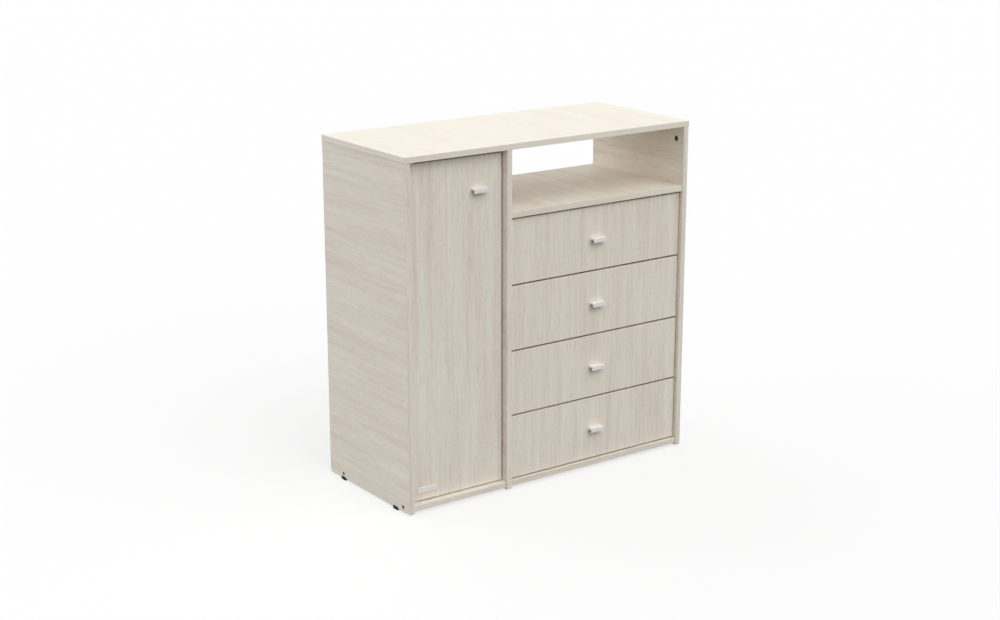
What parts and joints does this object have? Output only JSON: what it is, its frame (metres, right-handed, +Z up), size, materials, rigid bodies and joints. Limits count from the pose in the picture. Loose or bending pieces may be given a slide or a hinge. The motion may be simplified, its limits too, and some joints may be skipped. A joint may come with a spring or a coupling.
{
  "type": "chifforobe",
  "caption": "Low chifforobe in pale wood-print board: a hanging compartment behind a tall side door, beside stacked drawers under an open niche.",
  "frame": {"origin": "on the floor, below the middle of the whole", "axes": "+X to the right of a person who faces the front, +Y to the back, +Z up"},
  "size_m": [0.8962, 0.39, 0.91],
  "materials": {
    "wood_print_board": "pale wood-print melamine, satin",
    "hardboard": "pale faced hardboard",
    "handle_plastic": "satin",
    "black_plastic": "matte",
    "rail_plastic": "satin",
    "white_nylon": "satin",
    "catch_plastic": "satin",
    "grey_zinc": "dull die-cast",
    "black_steel": "black oxide",
    "zinc_steel": "zinc plated",
    "chrome_tube": "polished",
    "beech": "raw"
  },
  "bodies": {
    "carcass": {"back_nails": "zinc_steel", "cam_bolts": "zinc_steel", "cam_locks": "grey_zinc", "centre_divider": "wood_print_board", "chest_back": "hardboard", "chest_floor": "wood_print_board", "confirmat_screws": "black_steel", "dowels": "beech", "feet": "black_plastic", "hanging_rod": "chrome_tube", "left_drawer_rails": "rail_plastic", "left_side_panel": "wood_print_board", "magnetic_catch": "catch_plastic", "niche_shelf": "wood_print_board", "pivot_bushes": "white_nylon", "rail_screws": "zinc_steel", "right_drawer_rails": "rail_plastic", "right_side_panel": "wood_print_board", "rod_sockets": "grey_zinc", "shelf_pins": "zinc_steel", "socket_screws": "zinc_steel", "top_panel": "wood_print_board", "wardrobe_back": "hardboard", "wardrobe_floor": "wood_print_board", "wardrobe_shelf": "wood_print_board"},
    "door": {"door_handle": "handle_plastic", "door_panel": "wood_print_board", "door_screws": "zinc_steel", "name_plate": "handle_plastic", "pivot_pins": "zinc_steel", "strike_plate": "zinc_steel"},
    "drawer_1": {"drawer_1_back": "wood_print_board", "drawer_1_bottom": "hardboard", "drawer_1_fasteners": "zinc_steel", "drawer_1_front": "wood_print_board", "drawer_1_handle": "handle_plastic", "drawer_1_left_side": "wood_print_board", "drawer_1_right_side": "wood_print_board"},
    "drawer_2": {"drawer_2_back": "wood_print_board", "drawer_2_bottom": "hardboard", "drawer_2_fasteners": "zinc_steel", "drawer_2_front": "wood_print_board", "drawer_2_handle": "handle_plastic", "drawer_2_left_side": "wood_print_board", "drawer_2_right_side": "wood_print_board"},
    "drawer_3": {"drawer_3_back": "wood_print_board", "drawer_3_bottom": "hardboard", "drawer_3_fasteners": "zinc_steel", "drawer_3_front": "wood_print_board", "drawer_3_handle": "handle_plastic", "drawer_3_left_side": "wood_print_board", "drawer_3_right_side": "wood_print_board"},
    "drawer_4": {"drawer_4_back": "wood_print_board", "drawer_4_bottom": "hardboard", "drawer_4_fasteners": "zinc_steel", "drawer_4_front": "wood_print_board", "drawer_4_handle": "handle_plastic", "drawer_4_left_side": "wood_print_board", "drawer_4_right_side": "wood_print_board"}
  },
  "joints": [
    {"name": "door_swing", "type": "hinge", "parent": "carcass", "child": "door", "pos_m": [-0.4115, -0.164, 0.4595], "axis": [0, 0, -1], "range_deg": [0, 105]},
    {"name": "drawer_1_slide", "type": "slide", "parent": "carcass", "child": "drawer_1", "axis": [0, -1, 0], "range_m": [0, 0.25]},
    {"name": "drawer_2_slide", "type": "slide", "parent": "carcass", "child": "drawer_2", "axis": [0, -1, 0], "range_m": [0, 0.25]},
    {"name": "drawer_3_slide", "type": "slide", "parent": "carcass", "child": "drawer_3", "axis": [0, -1, 0], "range_m": [0, 0.25]},
    {"name": "drawer_4_slide", "type": "slide", "parent": "carcass", "child": "drawer_4", "axis": [0, -1, 0], "range_m": [0, 0.25]}
  ]
}
